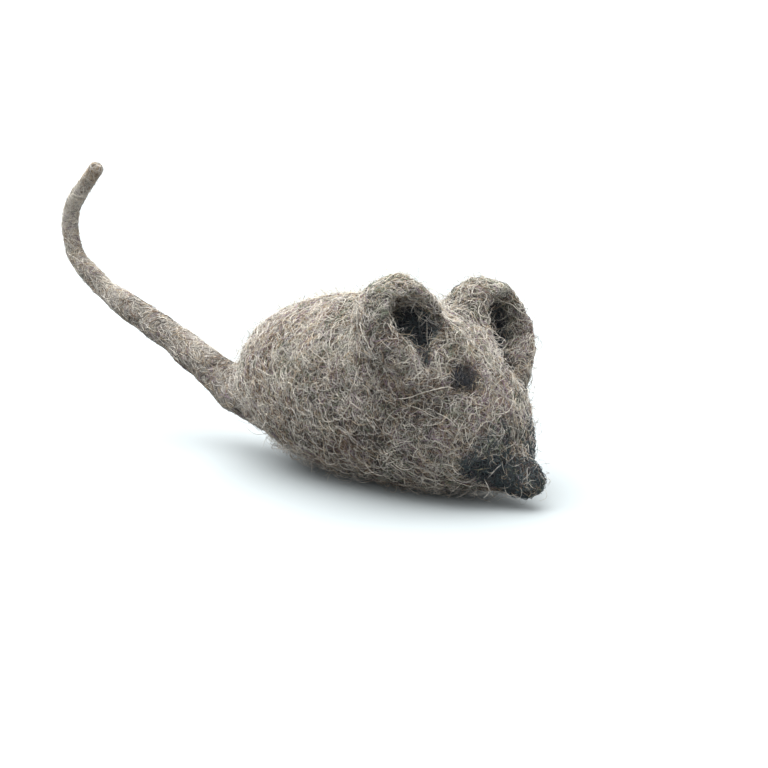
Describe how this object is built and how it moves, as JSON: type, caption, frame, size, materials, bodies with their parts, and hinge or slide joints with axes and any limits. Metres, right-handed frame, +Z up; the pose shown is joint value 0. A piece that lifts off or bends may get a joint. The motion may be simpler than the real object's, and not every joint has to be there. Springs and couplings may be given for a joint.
{
  "type": "felt toy mouse",
  "caption": "Felted wool toy mouse with cupped ears that fold at the root and a tapered tail that bends along its length.",
  "frame": {"origin": "on the floor, on the belly's flat, under the widest part of the body", "axes": "+X forwards to the nose, +Y to the mouse's left, +Z up"},
  "size_m": [0.1378, 0.0441, 0.0586],
  "materials": {
    "grey_wool": "felted grey-brown wool, matte, curly fibres standing off the surface",
    "pale_wool": "tightly packed pale wool, matte",
    "dark_wool": "blue-black wool needled on, matte",
    "tan_wool": "felted tan wool, matte"
  },
  "bodies": {
    "body": {"body_fleece": "grey_wool", "body_core": "pale_wool", "nose_tip": "dark_wool", "right_eye": "dark_wool", "right_muzzle_patch": "dark_wool", "right_ear_root": "grey_wool", "left_eye": "dark_wool", "left_muzzle_patch": "dark_wool", "left_ear_root": "grey_wool", "tail_collar": "grey_wool", "tail_core_anchor": "pale_wool"},
    "right_ear": {"right_ear_flap": "grey_wool", "right_ear_lining": "dark_wool"},
    "left_ear": {"left_ear_flap": "grey_wool", "left_ear_lining": "dark_wool"},
    "tail_1": {"tail_felt_1": "grey_wool", "tail_core_1": "pale_wool"},
    "tail_2": {"tail_felt_2": "grey_wool", "tail_core_2": "pale_wool"},
    "tail_3": {"tail_felt_3": "grey_wool", "tail_core_3": "pale_wool"},
    "tail_4": {"tail_felt_4": "grey_wool", "tail_core_4": "pale_wool"},
    "tail_5": {"tail_felt_5": "grey_wool", "tail_core_5": "pale_wool"},
    "tail_6": {"tail_felt_6": "grey_wool", "tail_core_6": "pale_wool"},
    "tail_7": {"tail_felt_7": "grey_wool", "tail_core_7": "pale_wool", "tail_tip": "tan_wool"}
  },
  "joints": [
    {"name": "right_ear_fold", "type": "hinge", "parent": "body", "child": "right_ear", "pos_m": [0.01895, -0.01044, 0.03316], "axis": [0.2683, 0.8263, 0.4952], "range_deg": [-20, 20], "stiffness_Nm_per_rad": 0.005},
    {"name": "left_ear_fold", "type": "hinge", "parent": "body", "child": "left_ear", "pos_m": [0.01833, 0.01318, 0.03097], "axis": [0.139, 0.6534, -0.7441], "range_deg": [-20, 20], "stiffness_Nm_per_rad": 0.005},
    {"name": "tail_wag", "type": "hinge", "parent": "body", "child": "tail_1", "pos_m": [-0.039, 0, 0.0122], "axis": [0, 0, 1], "range_deg": [-35, 35], "stiffness_Nm_per_rad": 0.03},
    {"name": "tail_lift", "type": "hinge", "parent": "tail_1", "child": "tail_2", "pos_m": [-0.05, 0, 0.0173], "axis": [0, 1, 0], "range_deg": [-15, 25], "stiffness_Nm_per_rad": 0.02},
    {"name": "tail_bend", "type": "hinge", "parent": "tail_2", "child": "tail_3", "pos_m": [-0.0615, 0, 0.0222], "axis": [0, 1, 0], "range_deg": [-12, 22], "stiffness_Nm_per_rad": 0.01},
    {"name": "tail_bend_outer", "type": "hinge", "parent": "tail_3", "child": "tail_4", "pos_m": [-0.073, 0, 0.0264], "axis": [0, 1, 0], "range_deg": [-12, 22], "stiffness_Nm_per_rad": 0.01},
    {"name": "tail_sway", "type": "hinge", "parent": "tail_4", "child": "tail_5", "pos_m": [-0.084, 0, 0.0314], "axis": [0.5245, 0, 0.8514], "range_deg": [-30, 30], "stiffness_Nm_per_rad": 0.004},
    {"name": "tail_curl", "type": "hinge", "parent": "tail_5", "child": "tail_6", "pos_m": [-0.0917, 0, 0.0376], "axis": [0, 1, 0], "range_deg": [-25, 30], "stiffness_Nm_per_rad": 0.002},
    {"name": "tail_curl_outer", "type": "hinge", "parent": "tail_6", "child": "tail_7", "pos_m": [-0.0925, 0, 0.0466], "axis": [0, 1, 0], "range_deg": [-25, 30], "stiffness_Nm_per_rad": 0.001}
  ],
  "couplings": [
    {"joint": "tail_bend_outer", "follows": "tail_bend", "ratio": 1},
    {"joint": "tail_curl_outer", "follows": "tail_curl", "ratio": 1}
  ]
}
